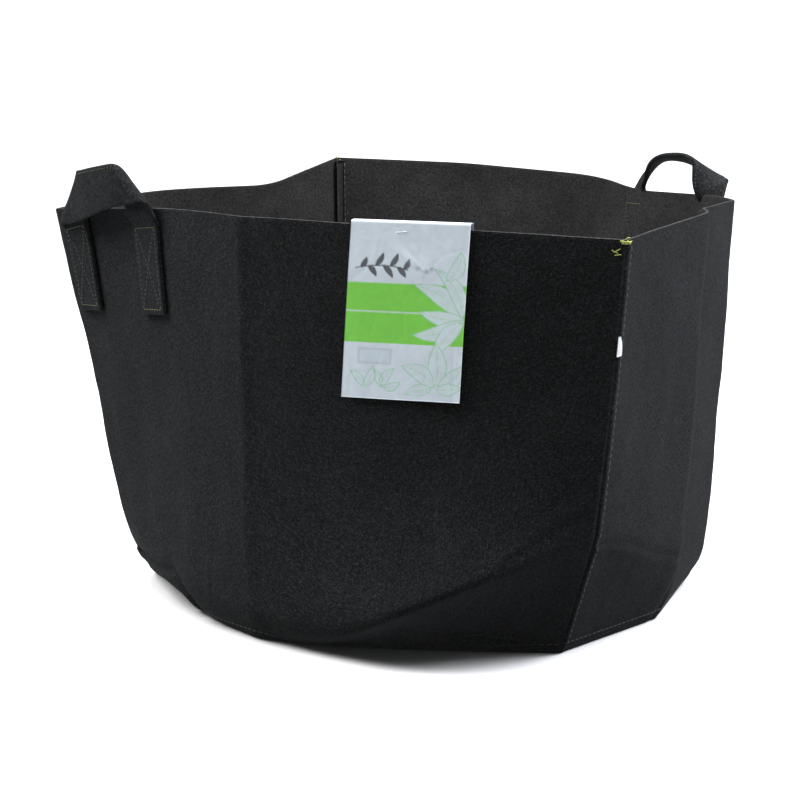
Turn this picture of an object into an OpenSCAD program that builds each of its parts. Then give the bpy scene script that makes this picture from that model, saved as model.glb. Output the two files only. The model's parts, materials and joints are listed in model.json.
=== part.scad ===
// Round fabric grow bag of two wall panels and a base, with two felt strap handles

/* [Bag] */
// Width of the bag across its rim
bag_w = 800; // [700:10:900]
// Height of the rim above the floor
bag_h = 470; // [420:5:520]
// Thickness of the felt
felt_t = 5; // [4:0.5:6]

/* [Handles] */
// Width of the strap
strap_w = 46; // [40:1:50]
// Thickness of the doubled strap
strap_t = 6.5; // [5:0.5:8]
// Length of each strap end that is sewn to the wall
tab_len = 122; // [90:2:130]
// Half the distance between the middles of the left handle's two ends
left_half_span = 70; // [60:1:74]
// Rise of the left loop's middle above its hinge line
left_rise = 24; // [20:1:34]
// Lean of the left loop's middle away from the bag
left_lean = 14; // [10:1:24]
// Droop of the left loop's outer edge below level, in degrees
left_droop = 80; // [50:1:85]
// Half the distance between the middles of the right handle's two ends
right_half_span = 85; // [70:1:88]
// Rise of the right loop's middle above its hinge line
right_rise = 38; // [34:1:46]
// Lean of the right loop's middle away from the bag
right_lean = 6; // [0:1:14]
// Droop of the right loop's inner edge below level, in degrees
right_droop = 25; // [5:1:40]

/* [Label and tag] */
// Width of the card label
card_w = 130; // [110:1:135]
// Height of the card label's front leaf, from its fold
card_h = 188; // [150:1:200]
// Height of the leaf that hangs inside the bag
card_back_h = 60; // [40:1:100]
// Thickness of the card
card_t = 0.6; // [0.4:0.1:1]
// Depth of the staple below the fold
staple_drop = 11; // [8:1:16]
// Height of the woven tag
tag_h = 21; // [16:1:25]
// Width that the woven tag stands out of its seam
tag_w = 9; // [7:0.5:12]

/* [Stitching] */
// Pitch of the stitches
stitch_pitch = 8; // [6:0.5:12]
// Thickness of the sewing thread
thread_d = 0.8; // [0.5:0.1:1.2]

/* [Hidden] */

// The bag's vertical folds in turn, clockwise seen from above, starting at the front seam.
// Each has four points of the outer face: foot, knee, belly and rim.
FOLDS = [
    [[175, -300, 0], [205, -375, 140], [220, -390, 305], [230, -400, 460]],
    [[80, -295, 0], [80, -400, 105], [85, -375, 270], [90, -375, 465]],
    [[-30, -280, 0], [-20, -380, 55], [-55, -325, 270], [-60, -325, 470]],
    [[-90, -265, 0], [-85, -335, 20], [-110, -300, 280], [-115, -300, 470]],
    [[-160, -245, 0], [-165, -270, 30], [-170, -265, 280], [-170, -270, 470]],
    [[-225, -150, 0], [-245, -145, 35], [-265, -135, 250], [-285, -135, 465]],
    [[-270, -30, 0], [-320, -20, 65], [-355, 0, 230], [-400, 0, 450]],
    [[-260, 120, 0], [-300, 140, 70], [-315, 170, 240], [-310, 180, 455]],
    [[-150, 240, 0], [-180, 270, 80], [-190, 290, 250], [-165, 300, 450]],
    [[-65, 290, 0], [-75, 350, 90], [-80, 380, 260], [-85, 400, 475]],
    [[70, 300, 0], [80, 360, 90], [85, 400, 260], [85, 430, 465]],
    [[210, 220, 0], [250, 270, 80], [275, 300, 250], [290, 310, 445]],
    [[305, 110, 0], [350, 110, 70], [375, 110, 235], [395, 90, 455]],
    [[350, 20, 0], [365, -30, 55], [380, 0, 225], [395, 0, 460]],
    [[290, -170, 0], [320, -185, 70], [335, -160, 260], [345, -170, 465]],
    [[230, -245, 0], [260, -295, 110], [275, -275, 275], [290, -280, 460]],
];
nominal_w = 800;
nominal_h = 470;
FOOT = 0;
KNEE = 1;
BELLY = 2;
RIM = 3;
// Felt thickness across the floor plane at each level, more where the wall leans
LEVEL_T = felt_t * [1.6, 1.3, 1, 1];
// Numbers of the folds that the sewn parts are placed by
FRONT_SEAM = 0;
LABEL_RIGHT = 1;
LABEL_LEFT = 2;
LEFT_HANDLE_FOLD = 5;
REAR_SEAM = 9;
RIGHT_HANDLE_FOLD = 11;

base_gap = 0.2;
hinge_rise = 8;
hinge_gap = 4;
loop_sections = 16;
tag_t = 0.8;
tag_drop = 110;
tag_gap = 1.2;
card_lift = 2.5;
card_joint_gap = 0.6;
fold_rise = 5;
staple_w = 12.8;
staple_wire = 0.7;
staple_side = 6;
seam_margin = 11;
base_seam_rise = 8;
stitch_len = 0.7 * stitch_pitch;
stitch_edge = 6;
stitch_w = 2 * thread_d;
// Share of each stretch of wall that its row of stitches leaves free at either end
row_end = 0.05;
tack_len = 10;
tack_rows = 3;
tack_pitch = 2.5;
label_shift = 3;
// Where each handle's wall frame starts and ends, as shares of the stretch between its two folds
LEFT_STRETCH = [0, 0.7];
RIGHT_STRETCH = [0.17, 0.82];
// Where the wall under each handle is sampled at belly height, as a share of that stretch
LEFT_BELLY = 0.3;
RIGHT_BELLY = 0.5;

felt_colour = [0.12, 0.12, 0.125];
strap_colour = [0.14, 0.14, 0.145];
thread_colour = [0.30, 0.31, 0.29];
tack_colour = [0.66, 0.68, 0.25];
card_colour = [0.92, 0.94, 0.95];
steel_colour = [0.75, 0.75, 0.77];

function unit(v) = v / norm(v);
function mix(a, b, s) = a + (b - a) * s;
function fold(k) = FOLDS[k % len(FOLDS)];
function outer(k, level) =
    let (p = fold(k)[level])
    [p.x * bag_w / nominal_w, p.y * bag_w / nominal_w, p.z * bag_h / nominal_h];
// Inward normal, in plan, of the stretch from fold k to the next
function plan_normal(k, level) =
    let (d = outer(k + 1, level) - outer(k, level))
    unit([d.y, -d.x, 0]);
function inner(k, level) =
    let (
        n1 = plan_normal(k + len(FOLDS) - 1, level),
        n2 = plan_normal(k, level)
    )
    outer(k, level) + (n1 + n2) / (1 + n1 * n2) * LEVEL_T[level];

// Two triangles for each four-sided face
function split(q) = [[q[0], q[1], q[2]], [q[0], q[2], q[3]]];

// One wall panel from fold "first" to fold "last", closed round its rim, foot and ends
module wall(first, last) {
    n = last - first + 1;
    outside = [for (k = [first : last]) for (level = [FOOT : RIM]) outer(k, level)];
    inside = [for (k = [first : last]) for (level = [FOOT : RIM]) inner(k, level)];
    levels = RIM + 1;
    skin = n * levels;
    quads = concat(
        [for (k = [0 : n - 2]) for (v = [0 : RIM - 1])
            let (a = k * levels + v)
            [a, a + levels, a + levels + 1, a + 1]],
        [for (k = [0 : n - 2]) for (v = [0 : RIM - 1])
            let (a = skin + k * levels + v)
            [a + 1, a + levels + 1, a + levels, a]],
        [for (k = [0 : n - 2])
            let (a = k * levels + RIM)
            [a, a + levels, skin + a + levels, skin + a]],
        [for (k = [0 : n - 2])
            let (a = k * levels)
            [a + levels, a, skin + a, skin + a + levels]],
        [for (v = [0 : RIM - 1]) [v, v + 1, skin + v + 1, skin + v]],
        [for (v = [0 : RIM - 1])
            let (a = (n - 1) * levels + v)
            [a, skin + a, skin + a + 1, a + 1]]
    );
    polyhedron(concat(outside, inside), [for (q = quads) each split(q)]);
}

// Frame of a flat stretch of wall between two rim points in fold order: origin, along, out, up
function wall_frame(rim_a, rim_b, below) =
    let (
        origin = (rim_a + rim_b) / 2,
        along = unit(rim_b - rim_a),
        out = unit(cross(along, below - origin))
    )
    [origin, along, out, cross(along, out)];
function at(frame, a, o, u) = frame[0] + frame[1] * a + frame[2] * o + frame[3] * u;

// Places its children in a frame: x along, y out, z up
module in_frame(frame) {
    o = frame[0];
    x = frame[1];
    y = frame[2];
    z = frame[3];
    multmatrix([[x.x, y.x, z.x, o.x], [x.y, y.y, z.y, o.y], [x.z, y.z, z.z, o.z], [0, 0, 0, 1]])
        children();
}

// A row of stitches from p to q on a face whose outward normal is n
module stitches(p, q, n) {
    along = unit(q - p);
    out = unit(n - along * (n * along));
    count = max(1, floor(norm(q - p) / stitch_pitch));
    step = (q - p) / count;
    for (k = [0 : count - 1])
        in_frame([p + step * (k + 0.5), along, out, cross(along, out)])
            cube([stitch_len, stitch_w, thread_d], center = true);
}

// Frame of the wall behind fold k, over a share of its stretch
function stretch_frame(k, stretch, belly) = wall_frame(
    mix(outer(k, RIM), outer(k + 1, RIM), stretch[0]),
    mix(outer(k, RIM), outer(k + 1, RIM), stretch[1]),
    mix(outer(k, BELLY), outer(k + 1, BELLY), belly)
);
left_frame = stretch_frame(LEFT_HANDLE_FOLD, LEFT_STRETCH, LEFT_BELLY);
right_frame = stretch_frame(RIGHT_HANDLE_FOLD, RIGHT_STRETCH, RIGHT_BELLY);

// A strap end sewn flat on the wall, centred "a" along its frame
module strap_tab(frame, a) {
    in_frame(frame)
        translate([a - strap_w / 2, 0, hinge_rise - hinge_gap - tab_len])
            cube([strap_w, strap_t, tab_len]);
}

// The free loop of a strap: a band that twists from the legs' face to its drooping top.
// A droop under 90 degrees lowers its outward edge, and one over 90 its inward edge.
module strap_loop(frame, half_span, rise, lean, droop) {
    start = asin(hinge_gap / rise);
    function section(turn) =
        let (
            mid = [-half_span * cos(turn), lean * sin(turn), rise * sin(turn)],
            w = [cos(turn), sin(turn) * cos(droop), -sin(turn) * sin(droop)],
            path = unit([half_span * sin(turn), lean * cos(turn), rise * cos(turn)]),
            face = unit(cross(w, path))
        )
        [for (s = [[-1, -1], [1, -1], [1, 1], [-1, 1]])
            let (p = mid + w * s[0] * strap_w / 2 + face * s[1] * strap_t / 2)
            at(frame, p.x, strap_t / 2 + p.y, hinge_rise + p.z)];
    rings = [for (k = [0 : loop_sections])
        section(start + (180 - 2 * start) * k / loop_sections)];
    sides = [for (k = [0 : loop_sections - 1]) for (s = [0 : 3])
        let (a = 4 * k + s, b = 4 * k + (s + 1) % 4)
        [a, b, b + 4, a + 4]];
    end = 4 * loop_sections;
    caps = [[3, 2, 1, 0], [end, end + 1, end + 2, end + 3]];
    polyhedron([for (r = rings) each r], [for (q = concat(sides, caps)) each split(q)]);
}

// Box with a cross of stitches on the face of a strap end
module box_cross(frame, a) {
    x0 = a - strap_w / 2 + stitch_edge;
    x1 = a + strap_w / 2 - stitch_edge;
    z1 = hinge_rise - hinge_gap - 2 * stitch_edge;
    z0 = hinge_rise - hinge_gap - tab_len + stitch_edge;
    inset = stitch_edge / 2;
    low_left = at(frame, x0, strap_t, z0);
    low_right = at(frame, x1, strap_t, z0);
    top_left = at(frame, x0, strap_t, z1);
    top_right = at(frame, x1, strap_t, z1);
    for (line = [
        [low_left, low_right], [low_right, top_right], [top_right, top_left],
        [top_left, low_left], [low_left, top_right], [low_right, top_left],
    ])
        let (d = unit(line[1] - line[0]) * inset)
        stitches(line[0] + d, line[1] - d, frame[2]);
}

// Rows of stitches beside the seam at fold k, on the side towards fold k + toward
module seam_thread(k, toward) {
    function beside(level) =
        outer(k, level) + unit(outer(k + toward, level) - outer(k, level)) * seam_margin;
    for (level = [FOOT : RIM - 1])
        stitches(
            mix(beside(level), beside(level + 1), row_end),
            mix(beside(level), beside(level + 1), 1 - row_end),
            cross(beside(level + 1) - beside(level), beside(level) - outer(k, level))
        );
}

// Back-tack of thick thread across the top of a seam
module bartack(k) {
    along = unit(outer(k + 1, RIM) - outer(k, RIM));
    frame = wall_frame(outer(k, RIM), outer(k, RIM) + along * 2 * tack_len, outer(k, BELLY));
    for (r = [1 : tack_rows])
        in_frame([at(frame, 0, 0, -(r + 1) * tack_pitch), frame[1], frame[2], frame[3]])
            cube([tack_len, stitch_w, 1.5 * thread_d], center = true);
}

label_frame = wall_frame(
    outer(LABEL_RIGHT, RIM), outer(LABEL_LEFT, RIM),
    mix(outer(LABEL_RIGHT, BELLY), outer(LABEL_LEFT, BELLY), 0.5)
);

module front_wall_panel() {
    color(felt_colour) wall(FRONT_SEAM, REAR_SEAM);
}

module rear_wall_panel() {
    color(felt_colour) wall(REAR_SEAM, len(FOLDS));
}

module base_panel() {
    foot = [for (k = [0 : len(FOLDS) - 1]) [inner(k, FOOT).x, inner(k, FOOT).y]];
    color(felt_colour)
        linear_extrude(felt_t)
            offset(delta = -base_gap) polygon(foot);
}

module left_handle_front_tab() {
    color(strap_colour) strap_tab(left_frame, -left_half_span);
}

module left_handle_rear_tab() {
    color(strap_colour) strap_tab(left_frame, left_half_span);
}

module left_handle_loop() {
    color(strap_colour)
        strap_loop(left_frame, left_half_span, left_rise, left_lean, left_droop);
}

module right_handle_front_tab() {
    color(strap_colour) strap_tab(right_frame, right_half_span);
}

module right_handle_rear_tab() {
    color(strap_colour) strap_tab(right_frame, -right_half_span);
}

module right_handle_loop() {
    color(strap_colour)
        strap_loop(right_frame, right_half_span, right_rise, right_lean, 180 - right_droop);
}

module front_seam_thread() {
    color(thread_colour) seam_thread(FRONT_SEAM + len(FOLDS), -1);
}

module rear_seam_thread() {
    color(thread_colour) seam_thread(REAR_SEAM, 1);
}

module base_seam_thread() {
    color(thread_colour)
        for (k = [0 : len(FOLDS) - 1]) {
            s = base_seam_rise / outer(k, KNEE).z;
            e = base_seam_rise / outer(k + 1, KNEE).z;
            p = mix(outer(k, FOOT), outer(k, KNEE), s);
            q = mix(outer(k + 1, FOOT), outer(k + 1, KNEE), e);
            stitches(mix(p, q, row_end), mix(p, q, 1 - row_end), -plan_normal(k, FOOT));
        }
}

module front_seam_bartack() {
    color(tack_colour) bartack(FRONT_SEAM);
}

module rear_seam_bartack() {
    color(tack_colour) bartack(REAR_SEAM);
}

module left_handle_front_stitching() {
    color(thread_colour) box_cross(left_frame, -left_half_span);
}

module left_handle_rear_stitching() {
    color(thread_colour) box_cross(left_frame, left_half_span);
}

module right_handle_front_stitching() {
    color(thread_colour) box_cross(right_frame, right_half_span);
}

module right_handle_rear_stitching() {
    color(thread_colour) box_cross(right_frame, -right_half_span);
}

// The card's fold over the rim, its stapled strip in front and its leaf inside
module label_back_leaf() {
    back = -felt_t - card_lift;
    color(card_colour)
        in_frame(label_frame)
            translate([label_shift - card_w / 2, 0, 0]) {
                translate([0, card_lift, fold_rise - staple_drop])
                    cube([card_w, card_t, staple_drop]);
                translate([0, back - card_t, fold_rise - card_t])
                    cube([card_w, card_lift + card_t - back, card_t]);
                translate([0, back - card_t, fold_rise - card_back_h])
                    cube([card_w, card_t, card_back_h]);
            }
}

module label_front_leaf() {
    top = fold_rise - staple_drop - card_joint_gap;
    color(card_colour)
        in_frame(label_frame)
            translate([label_shift - card_w / 2, card_lift, fold_rise - card_h])
                cube([card_w, card_t, top - fold_rise + card_h]);
}

module label_staple() {
    reach = card_lift + card_t + staple_wire;
    depth = reach + felt_t + card_lift + card_t + staple_wire;
    z = fold_rise - staple_drop + 3 * staple_wire;
    color(steel_colour)
        in_frame(label_frame)
            translate([label_shift + staple_side, reach - depth, z]) {
                translate([-staple_w / 2, depth - staple_wire, 0])
                    cube([staple_w, staple_wire, staple_wire]);
                for (side = [-1, 1])
                    translate([side * (staple_w - staple_wire) / 2 - staple_wire / 2, 0, 0])
                        cube([staple_wire, depth, staple_wire]);
                for (side = [-1, 1])
                    translate([side * staple_w / 4 - staple_w / 5, 0, 0])
                        cube([staple_w / 2.5, staple_wire, staple_wire]);
            }
}

// A folded ribbon caught in the front seam, lying along the right-hand panel
tag_frame =
    let (
        rim = outer(FRONT_SEAM, RIM),
        down = unit(outer(FRONT_SEAM, BELLY) - rim),
        out = unit(cross(down, outer(len(FOLDS) - 1, BELLY) - outer(FRONT_SEAM, BELLY)))
    )
    [rim + down * tag_drop, cross(out, down), out, down];

module woven_tag() {
    color(card_colour)
        in_frame(tag_frame)
            translate([0, tag_gap, -tag_h / 2])
                cube([tag_w, tag_t, tag_h]);
}

front_wall_panel();
rear_wall_panel();
base_panel();
left_handle_front_tab();
left_handle_rear_tab();
left_handle_loop();
right_handle_front_tab();
right_handle_rear_tab();
right_handle_loop();
front_seam_thread();
rear_seam_thread();
base_seam_thread();
front_seam_bartack();
rear_seam_bartack();
left_handle_front_stitching();
left_handle_rear_stitching();
right_handle_front_stitching();
right_handle_rear_stitching();
label_back_leaf();
label_front_leaf();
label_staple();
woven_tag();
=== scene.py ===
"""Round fabric grow bag: felt walls and base, two strap handles, a card label and a woven tag.

Everything is in metres and in the CAD model's frame: +Z up, the front of the bag towards -Y.
"""

import json
import math

import bpy
import numpy as np
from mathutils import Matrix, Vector
from mathutils.bvhtree import BVHTree


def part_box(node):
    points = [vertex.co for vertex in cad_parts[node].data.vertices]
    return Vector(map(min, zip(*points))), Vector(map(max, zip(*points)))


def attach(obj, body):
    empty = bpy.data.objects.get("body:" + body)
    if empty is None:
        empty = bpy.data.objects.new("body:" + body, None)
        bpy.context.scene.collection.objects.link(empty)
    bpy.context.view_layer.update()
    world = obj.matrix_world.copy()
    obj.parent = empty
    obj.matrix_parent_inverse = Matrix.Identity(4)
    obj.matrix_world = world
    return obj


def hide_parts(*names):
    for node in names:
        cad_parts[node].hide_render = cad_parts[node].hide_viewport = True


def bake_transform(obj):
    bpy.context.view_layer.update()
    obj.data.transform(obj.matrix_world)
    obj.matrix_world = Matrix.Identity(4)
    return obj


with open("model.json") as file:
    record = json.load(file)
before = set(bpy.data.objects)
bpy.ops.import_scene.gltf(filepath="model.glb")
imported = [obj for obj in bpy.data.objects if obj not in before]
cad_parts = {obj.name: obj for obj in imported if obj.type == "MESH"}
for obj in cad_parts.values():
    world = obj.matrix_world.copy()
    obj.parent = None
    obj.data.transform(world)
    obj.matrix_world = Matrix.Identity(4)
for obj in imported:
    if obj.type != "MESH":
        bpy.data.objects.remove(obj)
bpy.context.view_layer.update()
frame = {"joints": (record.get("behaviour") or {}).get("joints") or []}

MM = 0.001
# Felt and straps. A handle's hinge is HINGE_RISE over its patch's origin, and its sewn ends stop HINGE_GAP
# below the hinge.
FELT_T = 5 * MM
STRAP_W = 46 * MM
STRAP_T = 6.5 * MM
TAB_LEN = 122 * MM
HINGE_RISE = 8 * MM
HINGE_GAP = 4 * MM
# The card, with its fold FOLD_RISE over the rim and its leaves CARD_LIFT off the felt
CARD_W = 130 * MM
CARD_H = 188 * MM
CARD_BACK_H = 60 * MM
CARD_T = 0.6 * MM
CARD_LIFT = 2.5 * MM
FOLD_RISE = 5 * MM
# The seams' stitches
STITCH_PITCH = 8 * MM
THREAD_R = 0.45 * MM

# The bag's folds in turn, clockwise seen from above, starting at the front seam, in millimetres. Each has how
# far its corner is rounded along the cloth, then five points of the outer face (foot, knee, flank, belly and
# rim), then how far its knee is rounded.
FOLDS = [
    (6, (174, -309, 0), (206, -373, 142), (213, -384, 215), (221, -390, 305), (232, -400, 461), 10),
    (70, (80, -303, 0), (80, -412, 104), (84, -378, 190), (87, -370, 295), (92, -375, 467), 8),
    (70, (-30, -289, 0), (-16, -390, 58), (-36, -345, 160), (-52, -327, 285), (-58, -327, 470), 10),
    (50, (-90, -274, 0), (-85, -340, 19), (-103, -308, 130), (-112, -300, 280), (-115, -300, 471), 30),
    (6, (-158, -249, 0), (-167, -268, 32), (-169, -268, 150), (-171, -266, 280), (-172, -270, 471), 40),
    (70, (-213, -170, 0), (-229, -200, 27), (-236, -180, 130), (-240, -180, 250), (-246, -185, 470), 40),
    (70, (-261, -35, 0), (-290, -80, 36), (-300, -70, 130), (-313, -70, 235), (-335, -80, 459), 40),
    (6, (-300, 50, 0), (-325, -10, 66), (-340, -5, 130), (-357, 0, 230), (-404, 0, 450), 50),
    (80, (-262, 150, 0), (-300, 160, 70), (-310, 170, 140), (-318, 180, 240), (-312, 180, 454), 50),
    (30, (-160, 240, 0), (-185, 275, 80), (-190, 285, 150), (-190, 292, 250), (-166, 300, 449), 50),
    (6, (-68, 295, 0), (-75, 350, 90), (-78, 368, 160), (-82, 383, 260), (-85, 400, 475), 50),
    (30, (70, 305, 0), (80, 360, 90), (83, 380, 160), (85, 402, 260), (87, 430, 465), 50),
    (80, (180, 250, 0), (215, 310, 85), (225, 330, 155), (240, 345, 255), (262, 362, 454.5), 50),
    (40, (240, 200, 0), (270, 240, 80), (278, 252, 150), (288, 262, 250), (305, 275, 444), 50),
    (80, (315, 120, 0), (345, 115, 70), (355, 113, 140), (366, 112, 240), (388, 108, 454), 50),
    (20, (350, 30, 0), (366, -28, 56), (372, -15, 125), (381, 0, 225), (394, 0, 460), 50),
    (10, (300, -140, 0), (318.5, -157, 66), (322, -142.5, 146), (331, -132, 250), (340.5, -142, 466), 30),
    (14, (290, -170, 0), (319, -183, 68), (326, -170, 150), (335, -160, 255), (345, -170, 465), 30),
    (80, (227, -245, 0), (257, -293, 111), (266, -283, 190), (275, -272, 275), (290, -285, 464), 20),
]
FRONT_SEAM = 0
REAR_SEAM = 10
# How far every fold is rounded up the cloth at its flank and belly
FLANK_SOFT = 60 * MM
BELLY_SOFT = 90 * MM


# ---- vectors and frames

def unit(v):
    v = np.asarray(v, float)
    return v / np.linalg.norm(v, axis=-1, keepdims=True)


def box_centre(node):
    low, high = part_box(node)
    return np.array((low + high) / 2)


def joint(name):
    found = next(j for j in frame["joints"] if j["name"] == name)
    return np.array(found["pos_m"], float), unit(found["axis"])


class Patch:
    """A flat frame on the wall: along it, out from it and up it, from an origin at the rim."""

    def __init__(self, origin, along, up):
        self.origin = np.asarray(origin, float)
        self.along = unit(along)
        self.up = unit(up)
        self.out = unit(np.cross(self.up, self.along))

    def at(self, a, o, u):
        a, o, u = (np.asarray(x, float)[..., None] for x in (a, o, u))
        return self.origin + self.along * a + self.out * o + self.up * u

    def turn(self, v):
        """A direction given as (along, out, up)."""
        v = np.asarray(v, float)
        return self.along * v[..., 0:1] + self.out * v[..., 1:2] + self.up * v[..., 2:3]


def strap_patch(first_tab, second_tab, joint_name):
    """The frame of a handle, from its two sewn ends and its hinge, and half the distance between the ends."""
    first, second = box_centre(first_tab), box_centre(second_tab)
    hinge, _ = joint(joint_name)
    middle = (first + second) / 2
    patch = Patch(middle, second - first, hinge - middle)
    patch.origin = hinge - patch.up * HINGE_RISE - patch.out * STRAP_T / 2
    return patch, np.linalg.norm(second - first) / 2


def smoothstep(x, start, end):
    t = np.clip((x - start) / (end - start), 0, 1)
    return t * t * (3 - 2 * t)


def rounded(values, at, soft, x):
    """Values at knots, with each corner rounded over its softness either side, sampled at x."""
    values = np.asarray(values, float)
    flat = values.reshape(len(at), -1)
    result = np.stack([np.interp(x, at, flat[:, c]) for c in range(flat.shape[1])], 1)
    for i in range(1, len(at) - 1):
        reach = min(soft[i], 0.49 * (at[i] - at[i - 1]), 0.49 * (at[i + 1] - at[i]))
        near = np.abs(x - at[i]) < reach
        if not near.any():
            continue
        before = (flat[i] - flat[i - 1]) / (at[i] - at[i - 1])
        after = (flat[i + 1] - flat[i]) / (at[i + 1] - at[i])
        t = ((x[near] - at[i]) / reach)[:, None]
        result[near] = flat[i] + reach * (after * (1 + t) ** 2 - before * (1 - t) ** 2) / 4
    return result.reshape((len(x),) + values.shape[1:])


def lengths(points):
    """Distance along a line of points, from 0."""
    steps = np.linalg.norm(np.diff(points, axis=0), axis=-1)
    return np.concatenate([[0], np.cumsum(steps)])


def grid_normals(grid):
    """Unit normals of a grid (rows go along, columns go up), outward where along is clockwise."""
    return unit(np.cross(np.gradient(grid, axis=1), np.gradient(grid, axis=0)))


def smoothed(values, x, sigma):
    """Values at x blurred over sigma."""
    weight = np.exp(-0.5 * ((x[:, None] - x[None, :]) / sigma) ** 2) * np.gradient(x)[None, :]
    weight /= weight.sum(1, keepdims=True)
    return (weight @ values.reshape(len(x), -1)).reshape(values.shape)


def bell(x, width):
    return np.exp(-(x / width) ** 2)


def place_in(knots, x):
    """Where x lies in a row of knots, counted in knots."""
    return np.interp(x, knots, np.arange(len(knots)))


def sample(grid, x, y):
    """A grid's values at places x along its rows and y along its columns, counted in rows and columns."""
    i = np.clip(np.asarray(x).astype(int), 0, grid.shape[0] - 2)
    j = np.clip(np.asarray(y).astype(int), 0, grid.shape[1] - 2)
    fx, fy = x - i, y - j
    if grid.ndim > 2:
        fx, fy = fx[..., None], fy[..., None]
    low = grid[i, j] * (1 - fx) + grid[i + 1, j] * fx
    high = grid[i, j + 1] * (1 - fx) + grid[i + 1, j + 1] * fx
    return low * (1 - fy) + high * fy


def to_path(x, y, path):
    """Distance from each point (x, y) to a path of points, signed by its side: positive on the left."""
    best = np.full(np.broadcast(x, y).shape, 1e9)
    side = np.ones(best.shape)
    for (x0, y0), (x1, y1) in zip(path[:-1], path[1:]):
        dx, dy = x1 - x0, y1 - y0
        t = np.clip(((x - x0) * dx + (y - y0) * dy) / (dx * dx + dy * dy), 0, 1)
        away = np.hypot(x - x0 - t * dx, y - y0 - t * dy)
        closer = away < best
        best = np.where(closer, away, best)
        side = np.where(closer, np.sign(dx * (y - y0) - dy * (x - x0)), side)
    return best, side


def ripples(x, y, seed, count, longest, shortest):
    """Gentle random waves over a surface, about 1 high, the same each run."""
    draw = np.random.default_rng(seed)
    total = np.zeros(np.broadcast(x, y).shape)
    for _ in range(count):
        wave = shortest * (longest / shortest) ** draw.random()
        angle = draw.random() * math.pi
        phase = draw.random() * 2 * math.pi
        turn = 2 * math.pi * (x * math.cos(angle) + y * math.sin(angle)) / wave
        total += np.sin(turn + phase) * (wave / longest) ** 0.7
    return total / math.sqrt(count)


# ---- meshes

def in_scene(name, data):
    """A new object in the scene."""
    made = bpy.data.objects.new(name, data)
    bpy.context.scene.collection.objects.link(made)
    return made


def grid_faces(rows, columns, flip=False):
    a = (np.arange(rows - 1)[:, None] * columns + np.arange(columns - 1)).ravel()
    quads = np.stack([a, a + columns, a + columns + 1, a + 1], 1)
    return quads[:, ::-1] if flip else quads


class Shape:
    """The points and faces of one piece, with a material and a place on the cloth for each."""

    def __init__(self):
        self.points, self.faces, self.slots, self.cloth, self.ink = [], [], [], [], []
        self.count = 0

    def add(self, points, faces, slot=0, cloth=None, ink=None):
        points = np.asarray(points, float).reshape(-1, 3)
        self.points.append(points)
        self.faces += [[i + self.count for i in f] for f in np.asarray(faces).tolist()]
        self.slots += [slot] * len(faces)
        self.cloth.append(np.zeros((len(points), 2)) if cloth is None else np.asarray(cloth).reshape(-1, 2))
        self.ink.append(np.ones((len(points), 3)) if ink is None else np.asarray(ink).reshape(-1, 3))
        self.count += len(points)
        return self.count - len(points)

    def join(self, faces, slot):
        """Faces between points that are already there."""
        self.faces += [[int(i) for i in face] for face in faces]
        self.slots += [slot] * len(faces)

    def piece(self, name, materials, floor=None):
        points = np.concatenate(self.points)
        if floor is not None:
            points[:, 2] = np.maximum(points[:, 2], floor)
        mesh = bpy.data.meshes.new(name)
        mesh.from_pydata(points.tolist(), [], self.faces)
        for material in materials:
            mesh.materials.append(material)
        mesh.polygons.foreach_set("material_index", self.slots)
        mesh.polygons.foreach_set("use_smooth", [True] * len(mesh.polygons))
        corner = np.zeros(len(mesh.loops), np.int32)
        mesh.loops.foreach_get("vertex_index", corner)
        cloth = np.concatenate(self.cloth)[corner]
        mesh.uv_layers.new(name="cloth").data.foreach_set("uv", cloth.ravel().astype(np.float32))
        ink = np.concatenate(self.ink)
        if ink.min() < 1:
            colour = np.concatenate([ink, np.ones((len(ink), 1))], 1)
            layer = mesh.color_attributes.new("ink", "FLOAT_COLOR", "POINT")
            layer.data.foreach_set("color", colour.ravel().astype(np.float32))
        mesh.update()
        return in_scene(name, mesh)


def ride_as(piece, body, node):
    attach(piece, body)
    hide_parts(node)


def add_shell(shape, outer, inner, cloth, slots=(0, 0, 0), ink=None, edge_round=0.8 * MM, cut_top=False):
    """A closed sheet between two grids, with rounded edges. slots are its outer face, inner face and edges.

    With cut_top only the top edge has the edges' slot, and the others have the outer face's.
    """
    rows, columns = outer.shape[:2]
    across = unit(outer - inner)
    index = np.arange(rows * columns).reshape(rows, columns)
    ring = np.concatenate([index[:, 0], index[-1, 1:], index[-2::-1, -1], index[0, -2:0:-1]])
    i, j = np.divmod(ring, columns)
    back = (np.clip(i, 1, rows - 2), np.clip(j, 1, columns - 2))
    ahead = unit(outer[i, j] - outer[back])
    outer, inner = outer.copy(), inner.copy()
    middle = (outer[i, j] + inner[i, j]) / 2 + ahead * edge_round * 0.6
    outer[i, j] -= across[i, j] * edge_round
    inner[i, j] += across[i, j] * edge_round
    a = shape.add(outer, grid_faces(rows, columns, flip=True), slots[0], cloth, ink)
    b = shape.add(inner, grid_faces(rows, columns), slots[1], cloth)
    m = shape.add(middle, np.zeros((0, 4), int), slots[2], cloth[i, j])
    after = np.roll(ring, -1)
    k = np.arange(len(ring))
    k_after = np.roll(k, -1)
    cut = (j == columns - 1) & (j[k_after] == columns - 1) if cut_top else np.full(len(ring), True)
    for part, slot in ((cut, slots[2]), (~cut, slots[0])):
        shape.join(np.stack([a + ring, a + after, m + k_after, m + k], 1)[part, ::-1], slot)
        shape.join(np.stack([m + k, m + k_after, b + after, b + ring], 1)[part, ::-1], slot)


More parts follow.
